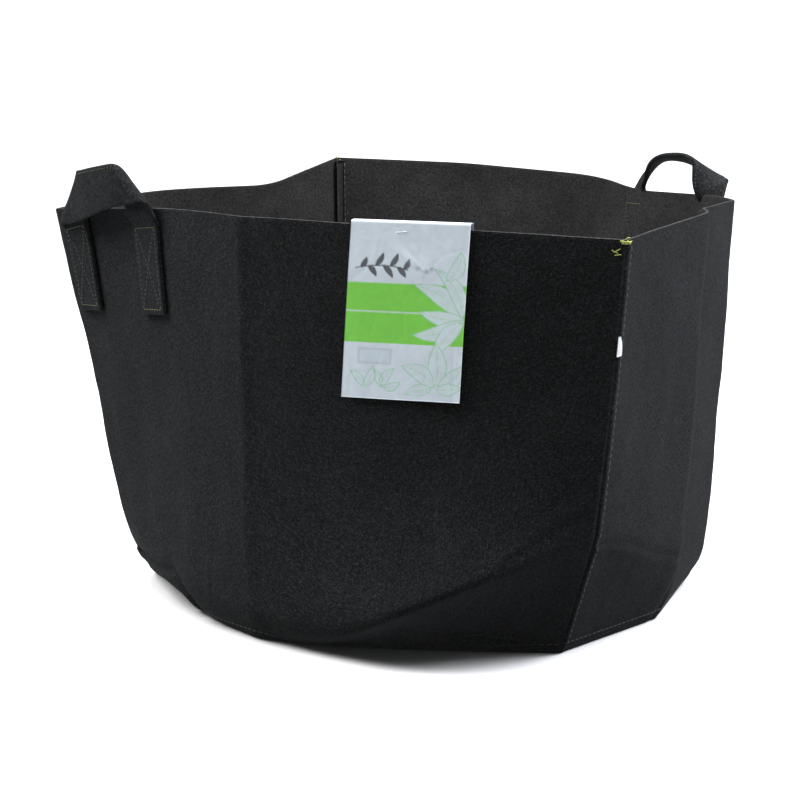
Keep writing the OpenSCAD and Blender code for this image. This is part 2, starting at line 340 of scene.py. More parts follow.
def add_tube(shape, path, radius, sides=6, slot=0):
    """A round thread along a path, closed at both ends."""
    path = np.asarray(path, float)
    ahead = unit(np.gradient(path, axis=0))
    side = unit(np.cross(ahead, [0.31, 0.17, 0.93]))
    other = np.cross(ahead, side)
    angle = 2 * math.pi * np.arange(sides) / sides
    ring = side[:, None] * np.cos(angle)[None, :, None] + other[:, None] * np.sin(angle)[None, :, None]
    k = np.arange(len(path) - 1)[:, None] * sides
    s = np.arange(sides)
    s_after = (s + 1) % sides
    faces = np.stack([k + s, k + s_after, k + sides + s_after, k + sides + s], -1).reshape(-1, 4)
    start = shape.add(path[:, None] + ring * radius, faces, slot)
    last = start + (len(path) - 1) * sides
    shape.join([start + s[::-1], last + s], slot)


def add_stitch_row(shape, path, normals, pitch=STITCH_PITCH, share=0.68, radius=THREAD_R, slot=0):
    """Stitches along a path on a surface. Each one rises out of the cloth, lies on it and dives back."""
    far = lengths(path)
    count = max(1, int(far[-1] / pitch))
    step = far[-1] / count
    rise = np.array([-0.9, 0.35, 0.75, 0.75, 0.35, -0.9]) * radius
    for n in range(count):
        x = (n + 0.5) * step + np.linspace(-0.5, 0.5, len(rise)) * share * pitch
        line = np.stack([np.interp(x, far, path[:, c]) for c in range(3)], 1)
        out = unit(np.stack([np.interp(x, far, normals[:, c]) for c in range(3)], 1))
        add_tube(shape, line + out * rise[:, None], radius, slot=slot)


# ---- materials

def connect(tree, socket, value):
    """Feed a socket from another one, or set it to a plain value."""
    if isinstance(value, bpy.types.NodeSocket):
        tree.links.new(value, socket)
    else:
        socket.default_value = value


def add_node(tree, kind, inputs=None, **settings):
    node = tree.nodes.new(kind)
    for key, value in settings.items():
        setattr(node, key, value)
    for key, value in (inputs or {}).items():
        connect(tree, node.inputs[key], value)
    return node


def math_node(tree, operation, *values):
    return add_node(tree, "ShaderNodeMath", dict(enumerate(values)), operation=operation).outputs[0]


def weighted_sum(tree, *terms):
    """The sum of some values, each given with its weight."""
    parts = [math_node(tree, "MULTIPLY", value, weight) for value, weight in terms]
    total = parts[0]
    for part in parts[1:]:
        total = math_node(tree, "ADD", total, part)
    return total


def spread(tree, value, low, high, to_low, to_high):
    """The value from low..high mapped to to_low..to_high, and held there."""
    inputs = {"Value": value, "From Min": low, "From Max": high, "To Min": to_low, "To Max": to_high}
    return add_node(tree, "ShaderNodeMapRange", inputs).outputs[0]


def mix_colour(tree, share, a, b, blend="MIX"):
    """Colour a, with its share of colour b. They are the mix node's inputs 6 and 7."""
    node = add_node(tree, "ShaderNodeMix", data_type="RGBA", blend_type=blend)
    for index, value in ((0, share), (6, a), (7, b)):
        connect(tree, node.inputs[index], value)
    return node.outputs[2]


def scaled(tree, colour, factor):
    """A plain colour (r, g, b) times a value."""
    return add_node(tree, "ShaderNodeVectorMath", {0: colour, 1: factor}, operation="MULTIPLY").outputs[0]


def cloth_place(tree):
    return add_node(tree, "ShaderNodeUVMap", uv_map="cloth").outputs[0]


def object_place(tree):
    return add_node(tree, "ShaderNodeTexCoord").outputs["Object"]


def noise(tree, vector, scale, detail, rough):
    inputs = {"Vector": vector, "Scale": scale, "Detail": detail, "Roughness": rough}
    return add_node(tree, "ShaderNodeTexNoise", inputs).outputs["Fac"]


def bands(tree, vector, scale, direction, distortion=0.0):
    inputs = {"Vector": vector, "Scale": scale, "Distortion": distortion}
    return add_node(tree, "ShaderNodeTexWave", inputs, bands_direction=direction).outputs["Fac"]


def grey(value, warmth=0.0):
    return (value * (1 + warmth), value, value * (1 - warmth), 1)


def new_material(name):
    material = bpy.data.materials.new(name)
    material.use_nodes = True
    return material, material.node_tree


def set_surface(material, settings, height=None, strength=0.5, distance=0.2 * MM):
    """Set the inputs of a material's shader, and its bump where it has a height."""
    tree = material.node_tree
    shader = tree.nodes["Principled BSDF"]
    for key, value in settings.items():
        connect(tree, shader.inputs[key], value)
    if height is not None:
        inputs = {"Strength": strength, "Distance": distance, "Height": height}
        bump = add_node(tree, "ShaderNodeBump", inputs)
        connect(tree, shader.inputs["Normal"], bump.outputs[0])
    return material


# The ways that fibres lie: each one's angle, and how many would fit across a metre
FIBRES = ((0.25, 1250), (1.35, 1400), (2.3, 1150))
FIBRE_STRETCH = 8


def felt_material(name, tone, warmth=0.0, fleck=0.10, fleck_share=0.5, sheen=0.015, contrast=1.0):
    """Needle-punched felt: blotches, a fine grain and short pale fibres lying in all directions."""
    material, tree = new_material(name)
    cloth = cloth_place(tree)
    grain = noise(tree, cloth, 300, 4, 0.72)
    fine = noise(tree, cloth, 1700, 2, 0.6)
    blotch = noise(tree, cloth, 28, 6, 0.8)
    fibres = 0.0
    for angle, thin in FIBRES:
        inputs = {"Vector": cloth, "Rotation": (0, 0, angle), "Scale": (FIBRE_STRETCH, 1, 1)}
        turned = add_node(tree, "ShaderNodeMapping", inputs, vector_type="TEXTURE").outputs[0]
        streak = spread(tree, noise(tree, turned, thin, 1, 0.5), 0.59, 0.70, 0, 1)
        fibres = math_node(tree, "MAXIMUM", fibres, streak)
    speck = spread(tree, noise(tree, cloth, 420, 1, 0.5), 0.60, 0.72, 0, 1)
    shades = [spread(tree, value, 0.3, 0.7, 1 - depth * contrast, 1 + depth * contrast)
              for value, depth in ((grain, 0.85), (blotch, 0.4))]
    toned = scaled(tree, grey(tone, warmth)[:3], math_node(tree, "MULTIPLY", *shades))
    share = math_node(tree, "MULTIPLY", weighted_sum(tree, (fibres, 0.55), (speck, 0.45)), fleck_share)
    settings = {
        "Base Color": mix_colour(tree, share, toned, grey(fleck, -0.03)), "Roughness": 0.95,
        "Specular IOR Level": 0.08, "Sheen Weight": sheen, "Sheen Roughness": 0.45,
        "Sheen Tint": (0.75, 0.78, 0.85, 1)}
    height = weighted_sum(tree, (grain, 0.9), (fine, 0.5), (fibres, 0.25))
    return set_surface(material, settings, height, 0.75, 0.9 * MM)


def thread_material(name, colour):
    """Twisted sewing thread: bands across it and a soft gloss."""
    material, tree = new_material(name)
    twist = bands(tree, object_place(tree), 700, "DIAGONAL", 2.0)
    dark = tuple(0.55 * c for c in colour[:3]) + (1,)
    mixed = mix_colour(tree, spread(tree, twist, 0, 1, 0.2, 1), dark, colour)
    return set_surface(material, {"Base Color": mixed, "Roughness": 0.55, "Sheen Weight": 0.2}, twist, 0.4)


def card_material(name, printed):
    """Coated card: faint paper fibre, soft creases and a slight gloss, with its print where it has one."""
    material, tree = new_material(name)
    cloth = cloth_place(tree)
    mottle = spread(tree, noise(tree, cloth, 90, 4, 0.6), 0.3, 0.7, 0.93, 1.04)
    colour = scaled(tree, PAPER, mottle)
    if printed:
        ink = add_node(tree, "ShaderNodeAttribute", attribute_name="ink").outputs["Color"]
        colour = mix_colour(tree, 1.0, colour, ink, "MULTIPLY")
    inputs = {"Vector": cloth, "Scale": 26}
    crumple = add_node(tree, "ShaderNodeTexVoronoi", inputs, feature="DISTANCE_TO_EDGE").outputs[0]
    fold, swell = spread(tree, crumple, 0, 0.09, 1, 0), noise(tree, cloth, 45, 3, 0.55)
    settings = {"Base Color": colour, "Roughness": 0.42, "Coat Weight": 0.15, "Coat Roughness": 0.35}
    return set_surface(material, settings, weighted_sum(tree, (fold, 0.25), (swell, 1)), 0.6, 1.0 * MM)


def ribbon_material(name):
    """White woven ribbon with fine ribs both ways."""
    material, tree = new_material(name)
    cloth = cloth_place(tree)
    weave = weighted_sum(tree, (bands(tree, cloth, 420, "Y"), 0.6), (bands(tree, cloth, 520, "X"), 0.4))
    colour = mix_colour(tree, weave, (0.62, 0.63, 0.65, 1), (0.86, 0.87, 0.88, 1))
    return set_surface(material, {"Base Color": colour, "Roughness": 0.6, "Sheen Weight": 0.2}, weave)


def steel_material(name):
    """Bright drawn wire with faint draw marks."""
    material, tree = new_material(name)
    marks = noise(tree, object_place(tree), 900, 2, 0.5)
    colour = mix_colour(tree, marks, (0.50, 0.50, 0.52, 1), (0.74, 0.74, 0.76, 1))
    roughness = spread(tree, marks, 0.3, 0.7, 0.22, 0.4)
    return set_surface(material, {"Base Color": colour, "Roughness": roughness, "Metallic": 1.0})


PAPER = (0.76, 0.85, 0.93)
FELT_OUT = felt_material("felt_outside", 0.0080, -0.06)
# The inside felt is three times lighter than the outside felt: painted light, standing in for the light from
# above that falls on the inside of the walls and base
FELT_IN = felt_material("felt_inside", 0.024, 0.03, fleck=0.12, fleck_share=0.35, contrast=0.8)
# The cut edges are toned about three times lighter than the outside felt: a painted highlight for the light
# that the cut rim edges catch
FELT_EDGE = felt_material("felt_cut_edge", 0.024, 0.04, fleck=0.16, sheen=0.05)
STRAP_FELT = felt_material("strap_felt", 0.0095, -0.06)
# The strap's cut edges are toned twice as light as its faces: a painted highlight for the light that cut
# edges catch
STRAP_EDGE = felt_material("strap_edge", 0.020)
SEAM_THREAD = thread_material("seam_thread", (0.075, 0.08, 0.07, 1))
BASE_THREAD = thread_material("base_thread", (0.02, 0.02, 0.02, 1))
LIME_THREAD = thread_material("lime_thread", (0.20, 0.22, 0.07, 1))
TACK_THREAD = thread_material("tack_thread", (0.50, 0.53, 0.10, 1))
CARD_PRINTED = card_material("card_printed", True)
CARD_PLAIN = card_material("card_plain", False)
RIBBON = ribbon_material("ribbon")
STEEL = steel_material("steel_wire")


# ---- wall panels

# The size of the walls that FOLDS gives, which FIT brings to the CAD's
NOMINAL_WALLS = np.array([0.795, 0.830, 0.475])
wall_boxes = [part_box(node) for node in ("front_wall_panel", "rear_wall_panel")]
wall_low = np.min([np.array(box[0]) for box in wall_boxes], axis=0)
wall_high = np.max([np.array(box[1]) for box in wall_boxes], axis=0)
FIT = (wall_high - wall_low) / NOMINAL_WALLS
# How far the panels stop short of each other at a seam, and how wide the turned edge beside it is
SEAM_TRIM = 0.3 * MM
BAND_W = 11 * MM
# The panels' grid: its steps along the cloth, closer at the seams, and its rows up it, closer at foot and rim
GRID_STEP = 4.6 * MM
SEAM_STEPS = np.array([0, 0.7, 1.4, 2.2, 3.2, 4.4, 6, 7.8, 9.4, 10.4, 11, 11.6, 12.6, 15]) * MM
FOOT_STEPS = np.array([0, 0.003, 0.007, 0.012, 0.018, 0.026, 0.034])
RIM_STEPS = np.array([0.97, 0.98, 0.988, 0.994, 0.998, 1])
ROWS = np.concatenate([FOOT_STEPS, np.linspace(0.042, 0.962, 102), RIM_STEPS])


class Cloth:
    """The outer face of a wall panel: a grid along the cloth (s) and up it (h), both in metres."""

    def __init__(self, first, last, seed, creases, band):
        folds = [FOLDS[k % len(FOLDS)] for k in range(first, last + 1)]
        points = np.array([fold[1:6] for fold in folds], float) * MM * FIT
        soft = [fold[0] * MM for fold in folds]
        knee_soft = np.array([[fold[6] * MM] for fold in folds])
        at = lengths(points[:, -1])
        self.length = at[-1]
        margin = SEAM_STEPS[-1]
        middle = np.arange(margin + GRID_STEP, self.length - margin - GRID_STEP / 2, GRID_STEP)
        s = np.concatenate([SEAM_STEPS, middle, self.length - SEAM_STEPS[::-1]])
        self.s = np.clip(s, SEAM_TRIM, self.length - SEAM_TRIM)
        columns = rounded(points, at, soft, self.s)
        knees = rounded(knee_soft, at, soft, self.s)[:, 0]
        grid, height = [], []
        for column, knee in zip(columns, knees):
            v_at = lengths(column)
            grid.append(rounded(column, v_at, [0, knee, FLANK_SOFT, BELLY_SOFT, 0], ROWS * v_at[-1]))
            height.append(ROWS * v_at[-1])
        smooth = np.array(grid)
        self.h = np.array(height)
        self.normal = unit(smoothed(grid_normals(smooth), self.s, 7 * MM))
        self.outer = smooth + self.normal * self.relief(seed, creases, band)[..., None]
        # The foot stands on the floor
        self.outer[..., 2] -= self.outer[:, :1, 2] * (1 - smoothstep(self.h, 0, 22 * MM))
        self.inner = self.outer - self.normal * FELT_T
        faces = grid_faces(len(self.s), len(ROWS)).tolist()
        self.tree = BVHTree.FromPolygons([tuple(p) for p in self.outer.reshape(-1, 3)], faces)

    def relief(self, seed, creases, band):
        """How far the cloth stands off its smooth shape."""
        s = np.broadcast_to(self.s[:, None], self.h.shape)
        from_seam = np.minimum(s, self.length - s)
        calm = smoothstep(from_seam, 0, 50 * MM) * smoothstep(self.h, 0, 40 * MM)
        relief = calm * ripples(s, self.h, seed, 26, 0.26, 0.07) * 1.5 * MM
        relief += calm * ripples(s, self.h, seed + 1, 24, 0.05, 0.018) * 0.22 * MM
        for path, width, depth, lip in creases:
            away, side = to_path(s, self.h, np.array(path) * MM)
            relief -= depth * MM * bell(away, width * MM)
            relief += lip * MM * bell(away * side - 2 * width * MM, 1.5 * width * MM)
        # The seam's groove, the turned edge beside it with the pull of its stitches, and the foot
        relief -= 3.0 * MM * bell(from_seam, 2.4 * MM)
        if band:
            edge = smoothstep(from_seam, 1 * MM, 4 * MM) * (1 - smoothstep(from_seam, 10 * MM, 13 * MM))
            relief += 1.1 * MM * edge - 0.5 * MM * bell(from_seam - BAND_W, 1.3 * MM)
        return relief - 1.5 * MM * (1 - smoothstep(self.h, 0, 12 * MM))

    def line(self, s, h):
        """Points and normals on the outer face at places (s, h)."""
        x, y = place_in(self.s, s), place_in(ROWS, np.asarray(h) / self.top(s))
        return sample(self.outer, x, y), unit(sample(self.normal, x, y))

    def top(self, s):
        """Height of the rim up the cloth at s."""
        return np.interp(s, self.s, self.h[:, -1])

    def places(self):
        return np.stack(np.broadcast_arrays(self.s[:, None], self.h), -1)


# Creases, in millimetres: a path over the cloth (s, h), its width, its depth and how far the cloth stands up
# beside it
FRONT_CREASES = [
    ([(73, 20), (120, 30), (183, 36)], 3, 3.0, 1.5),
    ([(773, 57), (690, 66), (604, 72), (568, 37), (570, 0)], 6, 4.5, 2.5),
    ([(497, 106), (502, 70), (507, 42)], 3, 0.9, 0.6),
    ([(24, 188), (60, 176), (117, 154)], 5, 1.6, 0.8),
    ([(427, 470), (426, 250), (424, 30)], 5, -1.2, 0),
]
REAR_CREASES = [
    ([(1186, 152), (1104, 140), (903, 68)], 3.5, 1.7, 1.2),
    ([(947, 0), (930, 60), (925, 150)], 6, 2.0, 1.0),
]
front_cloth = Cloth(FRONT_SEAM, REAR_SEAM, 11, FRONT_CREASES, band=False)
rear_cloth = Cloth(REAR_SEAM, len(FOLDS), 23, REAR_CREASES, band=True)


def add_allowance(shape, cloth, at_end):
    """The turned edge of a seam, lying on the inside of the wall beside it."""
    across = np.array([0.6, 2, 5, 8, 10.5]) * MM
    s = cloth.length - across[::-1] if at_end else across
    heights = np.linspace(12 * MM, cloth.top(s[0]) - 4 * MM, 90)
    points, normals = map(np.array, zip(*[cloth.line(np.full(len(heights), x), heights) for x in s]))
    lift = 0.35 * MM * ripples(s[:, None] * 3, heights[None, :], 5, 12, 0.09, 0.03)
    near = points - normals * (FELT_T + 0.2 * MM)
    far = near - normals * (5.2 * MM + lift)[..., None]
    places = np.stack(np.broadcast_arrays(s[:, None], heights), -1)
    add_shell(shape, near, far, places, (1, 1, 2))


def wall_panel(name, cloth, node):
    shape = Shape()
    add_shell(shape, cloth.outer, cloth.inner, cloth.places(), (0, 1, 2), cut_top=True)
    if cloth is rear_cloth:
        for at_end in (True, False):
            add_allowance(shape, cloth, at_end)
    wall = shape.piece(name, [FELT_OUT, FELT_IN, FELT_EDGE], floor=0.2 * MM)
    ride_as(wall, "root", node)


wall_panel("front_wall", front_cloth, "front_wall_panel")
wall_panel("rear_wall", rear_cloth, "rear_wall_panel")


def base_disc():
    """The round base, lying on the floor, with its edge turned up inside the foot of the walls."""
    foot = np.concatenate([cloth.inner[::2, 0] for cloth in (front_cloth, rear_cloth)])
    foot = foot[np.linalg.norm(np.diff(foot, axis=0, append=foot[:1]), axis=1) > 0.5 * MM]
    centre = foot.mean(0)
    share = np.concatenate([np.linspace(0.02, 0.9, 34), np.linspace(0.915, 0.998, 10)])
    spoke = foot - centre
    spoke[:, 2] = 0
    plan = centre[:2] + spoke[:, None, :2] * share[None, :, None]
    wave = ripples(plan[..., 0], plan[..., 1], 41, 26, 0.30, 0.06)
    edge = smoothstep(share, 0.93, 1.0)[None, :]
    low = 0.4 * MM + 1.6 * MM * np.clip(wave + 0.4, 0, 2) * (1 - edge) + 4 * MM * edge
    bottom = np.concatenate([plan, low[..., None]], -1)
    top = bottom + np.array([0, 0, FELT_T])
    closing = np.concatenate([np.arange(len(foot)), [0]])
    shape = Shape()
    add_shell(shape, top[closing], bottom[closing], plan[closing], (0, 1, 2))
    disc = shape.piece("base_cloth", [FELT_IN, FELT_OUT, FELT_EDGE], floor=0.2 * MM)
    ride_as(disc, "root", "base_panel")


base_disc()


# ---- stitching of the walls

# How high the base seam runs, and where a wall seam's stitches start
BASE_SEAM_H = 15 * MM
SEAM_LOW = 12 * MM


def seam_stitches(name, cloth, at_end, node):
    """The row of stitches that holds a seam's turned edge."""
    s = cloth.length - BAND_W if at_end else BAND_W
    heights = np.linspace(SEAM_LOW, cloth.top(s) - 6 * MM, 160)
    shape = Shape()
    points, normals = cloth.line(np.full(len(heights), s), heights)
    add_stitch_row(shape, points, normals)
    add_stitch_row(shape, points - normals * (2 * FELT_T + 0.6 * MM), -normals)
    ride_as(shape.piece(name, [SEAM_THREAD]), "root", node)


seam_stitches("front_seam_stitches", rear_cloth, True, "front_seam_thread")
seam_stitches("rear_seam_stitches", rear_cloth, False, "rear_seam_thread")


def base_stitches():
    shape = Shape()
    for cloth in (front_cloth, rear_cloth):
        s = np.linspace(6 * MM, cloth.length - 6 * MM, 400)
        add_stitch_row(shape, *cloth.line(s, np.full(len(s), BASE_SEAM_H)))
    ride_as(shape.piece("base_seam_stitches", [BASE_THREAD]), "root", "base_seam_thread")


base_stitches()


def back_tack(name, before, after, node, seed):
    """Thick stitches over the top of a seam, with their loose ends. before and after are the cloths there."""
    draw = np.random.default_rng(seed)
    shape = Shape()

    def place(x, down):
        cloth, s = (after, x) if x >= 0 else (before, before.length + x)
        point, normal = cloth.line([s], [cloth.top(s) - down])
        return point[0], normal[0]

    # Over the seam: from (across, down) to (across, down), radius and rise, in millimetres
    for (x0, d0), (x1, d1), radius, rise in [
            ((-4, 1.5), (5.5, 1.0), 0.55, 2.4), ((-4, 2.7), (5.5, 2.2), 0.55, 2.4),
            ((-4, 3.9), (5.5, 3.4), 0.55, 2.4), ((-5, 2), (7, 0.6), 0.5, 2.8), ((-5, 3), (7, 1.6), 0.5, 2.8)]:
        path = []
        for t in np.linspace(0, 1, 9):
            x = x0 + (x1 - x0) * t
            point, normal = place((x + math.copysign(0.4, x)) * MM, (d0 + (d1 - d0) * t) * MM)
            path.append(point + normal * (rise * math.sin(math.pi * t) + 0.3) * MM)
        add_tube(shape, path, radius * MM)
    # Loose ends
    over, out = place(1 * MM, 0.5 * MM)
    for n in range(5):
        start = over + np.array(draw.normal(0, 2.2, 3)) * MM * np.array([1, 1, 0.2])
        along = unit(draw.normal(0, 1, 3) + np.array([0.4, -0.3, 0.1]))
        bend = unit(draw.normal(0, 1, 3))
        t = np.linspace(0, 1, 10)[:, None]
        reach = (5 + 4 * draw.random()) * MM
        path = start + along * t * reach + bend * np.sin(t * 2.4) * 1.6 * MM + out * t * 1.2 * MM
        path[:, 2] = np.minimum(path[:, 2], over[2] + 3 * MM)
        add_tube(shape, path, 0.38 * MM)
    # Three slanted stitches beside the seam, below its top
    for x, down, turn in ((10, 11, 0.6), (12, 12.5, -0.5), (9, 15.5, 0.15)):
        point, normal = place(x * MM, down * MM)
        side = unit(np.cross([0, 0, 1], normal))
        t = np.linspace(-1, 1, 9)[:, None]
        path = point + side * t * 3.2 * MM + np.array([0, 0, turn]) * t * 3 * MM + normal * (1.4 - t * t) * MM
        add_tube(shape, path, 0.5 * MM)
    ride_as(shape.piece(name, [TACK_THREAD]), "root", node)


back_tack("front_seam_tack", rear_cloth, front_cloth, "front_seam_bartack", 3)
back_tack("rear_seam_tack", front_cloth, rear_cloth, "rear_seam_bartack", 4)


# ---- handles

EDGE_ROW = 0.78
BORDER = np.array([EDGE_ROW, 0.84, 0.9, 0.96, 0.99, 1])
ACROSS = np.concatenate([-BORDER[::-1], np.linspace(-0.7, 0.7, 19), BORDER])
SEAT = STRAP_T / 2 + 0.3 * MM
# Where a strap's sewn ends start, and where the wall is measured for what stands above the rim
TAB_LOW = HINGE_RISE - HINGE_GAP - TAB_LEN
UNDER_RIM = -6 * MM
# The folded strap's bend radius and the height of its level band's lower edge
FOLD_R = 4.8 * MM
BAND_LOW = 8 * MM
# The arched strap's rear end, rear shoulder, top, front shoulder, front leg and front end. Each has a place
# on its middle line (along, out, up) in millimetres, and how far its width is turned there, in radians.
ARCH = np.array([
    (-85, 3.5, -2, 0.36), (-68, 9, 27, 0.80), (-5, 7, 41, 1.75), (58, 13, 25, 1.75), (76, 5, 9, 0.75),
    (85, 3.5, -2, 0.28)])
# How far in front of a patch's plane the search for the wall starts
CAST_FROM = 60 * MM


class WallUnder:
    """How far the wall stands out of a patch's plane, sampled over a stretch of the patch."""

    def __init__(self, patch, cloth, a_range, u_range, counts):
        self.a = np.linspace(*a_range, counts[0])
        self.u = np.linspace(*u_range, counts[1])
        inward = Vector(-patch.out)

        def off(a, u):
            hit = cloth.tree.ray_cast(Vector(patch.at(a, CAST_FROM, u)), inward, 2 * CAST_FROM)
            return 0.0 if hit[0] is None else CAST_FROM - hit[3]

        self.off = np.array([[off(a, u) for u in self.u] for a in self.a])

    def __call__(self, a, u):
        return sample(self.off, place_in(self.a, a), place_in(self.u, u))


def strap_wall(patch, cloth, half_span):
    reach = half_span + 0.6 * STRAP_W
    return WallUnder(patch, cloth, (-reach, reach), (TAB_LOW - 4 * MM, -4 * MM), (48, 30))


def folded_strap(wall, half_span):
    """A strap laid flat: up the wall, over to run level in front of its two legs, and folded back down.

    Gives places (a, o, u) on its middle surface: rows along the strap, columns across it.
    """
    turn = math.pi * FOLD_R
    line = half_span + STRAP_W / 2 + BAND_LOW - turn / math.sqrt(2)
    total = 2 * line + math.sqrt(2) * turn - 2 * TAB_LOW
    along = np.linspace(0, total, 300)[:, None]
    a = -half_span + ACROSS[None, :] * STRAP_W / 2 + along * 0
    u = TAB_LOW + along + ACROSS[None, :] * 0
    o = np.zeros(a.shape)
    for side, start, way in ((-1, 0.0, 1), (1, 2 * FOLD_R, -1)):
        past = np.maximum(u + side * a - line, 0) / math.sqrt(2)
        curl = np.clip(past, 0, turn)
        back = past - FOLD_R * np.sin(curl / FOLD_R) + np.maximum(past - turn, 0)
        a = a - side * back / math.sqrt(2)
        u = u - back / math.sqrt(2)
        o = np.where(past > 0, start + way * FOLD_R * (1 - np.cos(curl / FOLD_R)), o)
    front = smoothstep(o, 0, 2 * FOLD_R)
    across = np.clip(a / half_span, -1.4, 1.4)
    # The front leg stands off the rim. The band bulges and sags, and its rear end dips and is drawn in.
    stand = 8 * MM * smoothstep(u, -21 * MM, 3 * MM) * (1 - 0.9 * smoothstep(a, -half_span, half_span))
    bulge = front * 4.5 * MM * np.clip(1 - across ** 2, 0, 1)
    sag = front * 1.5 * MM * np.sin(across * 2.2 + 0.5)
    dip = (28 - 19 * smoothstep(u, 0, 50 * MM)) * MM
    dip *= smoothstep(a, -85 * MM, 130 * MM) * smoothstep(u, -45 * MM, -4 * MM)
    a = a - 23 * MM * smoothstep(a, 0, 85 * MM) * smoothstep(u, 12 * MM, 55 * MM)
    out = o + stand + bulge + SEAT + wall(a, np.minimum(u, UNDER_RIM))
    return np.stack([a, out, u - dip - sag], -1)


def through(knots, start, end, count):
    """A smooth curve through knots that leaves along start and arrives along end.

    Columns of the knots past the third ride along.
    """
    at = lengths(knots[:, :3])
    steps = np.diff(at)
    slopes = np.diff(knots, axis=0) / steps[:, None]
    tangent = np.zeros(knots.shape)
    before, after = steps[:-1, None], steps[1:, None]
    tangent[1:-1] = (slopes[:-1] * after + slopes[1:] * before) / (before + after)
    tangent[0] = np.concatenate([start, slopes[0, 3:]])
    tangent[-1] = np.concatenate([end, slopes[-1, 3:]])
    x = np.linspace(0, at[-1], count)
    i = np.clip(np.searchsorted(at, x) - 1, 0, len(knots) - 2)
    t, h = ((x - at[i]) / steps[i])[:, None], steps[i][:, None]
    rise = t * t * (3 - 2 * t)
    return (knots[i] * (1 - rise) + knots[i + 1] * rise
            + h * t * (1 - t) * ((1 - t) * tangent[i] - t * tangent[i + 1]))


def arched_strap(wall, half_span):
    """A strap that stands up in a twisted arch, given as folded_strap gives its own."""
    knots = ARCH * [MM, MM, MM, 1]
    knots[[0, -1], 0] = [-half_span, half_span]
    curve = through(knots, (0, 0, 1), (0, 0, -1), 100)
    mid, turn = curve[:, :3], curve[:, 3:]
    ahead = unit(np.gradient(mid, axis=0))
    out = unit(np.array([[0, 1.0, 0]]) - ahead * ahead[:, 1:2])
    wide = np.cross(out, ahead) * np.cos(turn) - out * np.sin(turn)
    across = ACROSS * STRAP_W / 2
    loop = mid[:, None] + wide[:, None] * across[None, :, None]
    heights = np.arange(TAB_LOW, -9 * MM, 2 * MM)[:, None]

    def leg(side):
        a, u = np.broadcast_arrays(side * (half_span - across), heights)
        return np.stack([a, SEAT + wall(a, u), u], -1)

    at_rim = wall(loop[..., 0], np.full(loop.shape[:2], UNDER_RIM))
    loop[..., 1] += at_rim * (1 - smoothstep(loop[..., 2], 0, 30 * MM))
    rows = np.concatenate([leg(-1), loop, leg(1)[::-1]])
    far = lengths(rows[:, len(ACROSS) // 2])
    even = np.linspace(0, far[-1], 240)
    dense = sample(rows, place_in(far, even)[:, None], np.arange(len(ACROSS))[None, :])
    blurred = smoothed(dense, even, 7 * MM)
    from_end = np.minimum(even, even[-1] - even)
    free = smoothstep(from_end, TAB_LEN - 30 * MM, TAB_LEN)[:, None, None]
    return dense * (1 - free) + blurred * free


def strap_piece(name, patch, local, nodes, lift):
    """A strap's solid from its middle surface.

    lift is a way, in (along, out, up), that sets the two points returned as its bend beside the hinge.
    """
    grid = patch.origin + patch.turn(local)
    far = lengths(grid[:, len(ACROSS) // 2])
    normal = -grid_normals(grid)
    places = np.stack(np.broadcast_arrays(far[:, None], ACROSS * STRAP_W / 2), -1)
    # It thins towards its borders and along its edge stitches
    border = np.abs(ACROSS)
    thick = STRAP_T / 2 * (1 - 0.35 * border ** 12) - 0.45 * MM * bell(border - EDGE_ROW, 0.05)
    thick = thick + 0.12 * MM * ripples(places[..., 0], places[..., 1], 9, 20, 0.05, 0.012)
    shape = Shape()
    outer = grid + normal * thick[..., None]
    inner = grid - normal * thick[..., None]
    add_shell(shape, inner, outer, places, (0, 0, 1))
    strap = shape.piece(name, [STRAP_FELT, STRAP_EDGE])
    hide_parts(*nodes)
    hinge = patch.at(0, STRAP_T / 2, HINGE_RISE)
    tilt = unit(patch.turn(lift)) * 7 * MM
    bend = (hinge - tilt, hinge + tilt)
    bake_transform(strap)
    return outer, inner, normal, far, bend


def strap_line(surface, normal, far, f, x):
    """Points and normals on a strap's face at distances f along it and places x across it, from -1 to 1."""
    f, x = np.broadcast_arrays(f, x)
    row, column = place_in(far, f), place_in(ACROSS, x)
    return sample(surface, row, column), unit(sample(normal, row, column))


